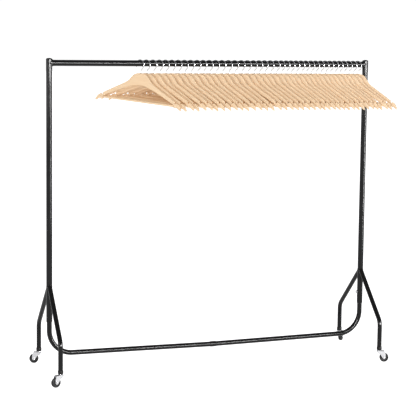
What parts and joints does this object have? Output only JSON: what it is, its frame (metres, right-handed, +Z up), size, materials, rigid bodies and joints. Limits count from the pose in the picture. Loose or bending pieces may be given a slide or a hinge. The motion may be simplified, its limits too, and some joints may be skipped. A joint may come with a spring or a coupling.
{
  "type": "rolling clothes rack",
  "caption": "Black tubular garment rack on swivel casters, with splayed legs, a low base rail and pale wooden hangers with wire hooks on its top rail.",
  "frame": {"origin": "the middle of the whole object's footprint, on the floor", "axes": "+X along the top rail from the left upright to the right one as seen from the front, -Y towards the front, +Z up"},
  "size_m": [1.9952, 0.5808, 1.6593],
  "materials": {
    "black_powder_coat": "semi-gloss fine powder coat",
    "bright_zinc": "bright zinc plate",
    "black_nylon": "satin",
    "black_tread": "matt",
    "pale_wood": "clear satin varnish",
    "chrome_wire": "polished"
  },
  "bodies": {
    "frame": {"top_rail": "black_powder_coat", "base_joint_sleeve": "black_powder_coat", "left_upright": "black_powder_coat", "left_upright_cap": "black_nylon", "left_rail_collar": "black_powder_coat", "left_base_rail": "black_powder_coat", "left_front_leg": "black_powder_coat", "left_front_leg_socket": "black_nylon", "left_front_caster_stem": "bright_zinc", "left_back_leg": "black_powder_coat", "left_back_leg_socket": "black_nylon", "left_back_caster_stem": "bright_zinc", "right_upright": "black_powder_coat", "right_upright_cap": "black_nylon", "right_rail_collar": "black_powder_coat", "right_base_rail": "black_powder_coat", "right_front_leg": "black_powder_coat", "right_front_leg_socket": "black_nylon", "right_front_caster_stem": "bright_zinc", "right_back_leg": "black_powder_coat", "right_back_leg_socket": "black_nylon", "right_back_caster_stem": "bright_zinc"},
    "left_lock_bolt": {"left_lock_bolt": "bright_zinc"},
    "left_front_fork": {"left_front_fork": "bright_zinc", "left_front_axle": "bright_zinc"},
    "left_front_wheel": {"left_front_wheel": "black_tread"},
    "left_back_fork": {"left_back_fork": "bright_zinc", "left_back_axle": "bright_zinc"},
    "left_back_wheel": {"left_back_wheel": "black_tread"},
    "right_lock_bolt": {"right_lock_bolt": "bright_zinc"},
    "right_front_fork": {"right_front_fork": "bright_zinc", "right_front_axle": "bright_zinc"},
    "right_front_wheel": {"right_front_wheel": "black_tread"},
    "right_back_fork": {"right_back_fork": "bright_zinc", "right_back_axle": "bright_zinc"},
    "right_back_wheel": {"right_back_wheel": "black_tread"},
    "hanger_1": {"hanger_1_hook": "chrome_wire", "hanger_1_shoulders": "pale_wood", "hanger_1_trouser_bar": "pale_wood"},
    "hanger_2": {"hanger_2_hook": "chrome_wire", "hanger_2_shoulders": "pale_wood", "hanger_2_trouser_bar": "pale_wood"},
    "hanger_3": {"hanger_3_hook": "chrome_wire", "hanger_3_shoulders": "pale_wood", "hanger_3_trouser_bar": "pale_wood"},
    "hanger_4": {"hanger_4_hook": "chrome_wire", "hanger_4_shoulders": "pale_wood", "hanger_4_trouser_bar": "pale_wood"},
    "hanger_5": {"hanger_5_hook": "chrome_wire", "hanger_5_shoulders": "pale_wood", "hanger_5_trouser_bar": "pale_wood"},
    "hanger_6": {"hanger_6_hook": "chrome_wire", "hanger_6_shoulders": "pale_wood", "hanger_6_trouser_bar": "pale_wood"},
    "hanger_7": {"hanger_7_hook": "chrome_wire", "hanger_7_shoulders": "pale_wood", "hanger_7_trouser_bar": "pale_wood"},
    "hanger_8": {"hanger_8_hook": "chrome_wire", "hanger_8_shoulders": "pale_wood", "hanger_8_trouser_bar": "pale_wood"}
  },
  "joints": [
    {"name": "left_lock_bolt_turn", "type": "hinge", "parent": "frame", "child": "left_lock_bolt", "pos_m": [-0.92614, -0.00772, 0.344], "axis": [1, 0, 0], "range_deg": [0, 720]},
    {"name": "left_front_swivel", "type": "hinge", "parent": "frame", "child": "left_front_fork", "pos_m": [-0.94614, -0.26542, 0.06], "axis": [0, 0, 1], "continuous": true},
    {"name": "left_front_roll", "type": "hinge", "parent": "left_front_fork", "child": "left_front_wheel", "pos_m": [-0.97196, -0.27331, 0.025], "axis": [0.2924, -0.9563, 0], "continuous": true},
    {"name": "left_back_swivel", "type": "hinge", "parent": "frame", "child": "left_back_fork", "pos_m": [-0.94614, 0.24998, 0.06], "axis": [0, 0, 1], "continuous": true},
    {"name": "left_back_roll", "type": "hinge", "parent": "left_back_fork", "child": "left_back_wheel", "pos_m": [-0.97151, 0.25921, 0.025], "axis": [-0.342, -0.9397, 0], "continuous": true},
    {"name": "right_lock_bolt_turn", "type": "hinge", "parent": "frame", "child": "right_lock_bolt", "pos_m": [0.83386, -0.00772, 0.344], "axis": [-1, 0, 0], "range_deg": [0, 720]},
    {"name": "right_front_swivel", "type": "hinge", "parent": "frame", "child": "right_front_fork", "pos_m": [0.85386, -0.26542, 0.06], "axis": [0, 0, 1], "continuous": true},
    {"name": "right_front_roll", "type": "hinge", "parent": "right_front_fork", "child": "right_front_wheel", "pos_m": [0.87923, -0.27465, 0.025], "axis": [0.342, 0.9397, 0], "continuous": true},
    {"name": "right_back_swivel", "type": "hinge", "parent": "frame", "child": "right_back_fork", "pos_m": [0.85386, 0.24998, 0.06], "axis": [0, 0, 1], "continuous": true},
    {"name": "right_back_roll", "type": "hinge", "parent": "right_back_fork", "child": "right_back_wheel", "pos_m": [0.87361, 0.26839, 0.025], "axis": [-0.682, 0.7314, 0], "continuous": true},
    {"name": "hanger_1_slide", "type": "slide", "parent": "hanger_2", "child": "hanger_1", "axis": [1, 0, 0], "range_m": [-0.15, 0]},
    {"name": "hanger_2_slide", "type": "slide", "parent": "hanger_3", "child": "hanger_2", "axis": [1, 0, 0], "range_m": [-0.035, 0]},
    {"name": "hanger_3_slide", "type": "slide", "parent": "hanger_4", "child": "hanger_3", "axis": [1, 0, 0], "range_m": [-0.035, 0]},
    {"name": "hanger_4_slide", "type": "slide", "parent": "hanger_5", "child": "hanger_4", "axis": [1, 0, 0], "range_m": [-0.035, 0]},
    {"name": "hanger_5_slide", "type": "slide", "parent": "hanger_6", "child": "hanger_5", "axis": [1, 0, 0], "range_m": [-0.035, 0]},
    {"name": "hanger_6_slide", "type": "slide", "parent": "hanger_7", "child": "hanger_6", "axis": [1, 0, 0], "range_m": [-0.035, 0]},
    {"name": "hanger_7_slide", "type": "slide", "parent": "hanger_8", "child": "hanger_7", "axis": [1, 0, 0], "range_m": [-0.035, 0]},
    {"name": "hanger_8_slide", "type": "slide", "parent": "frame", "child": "hanger_8", "axis": [1, 0, 0], "range_m": [-0.035, 0]}
  ]
}
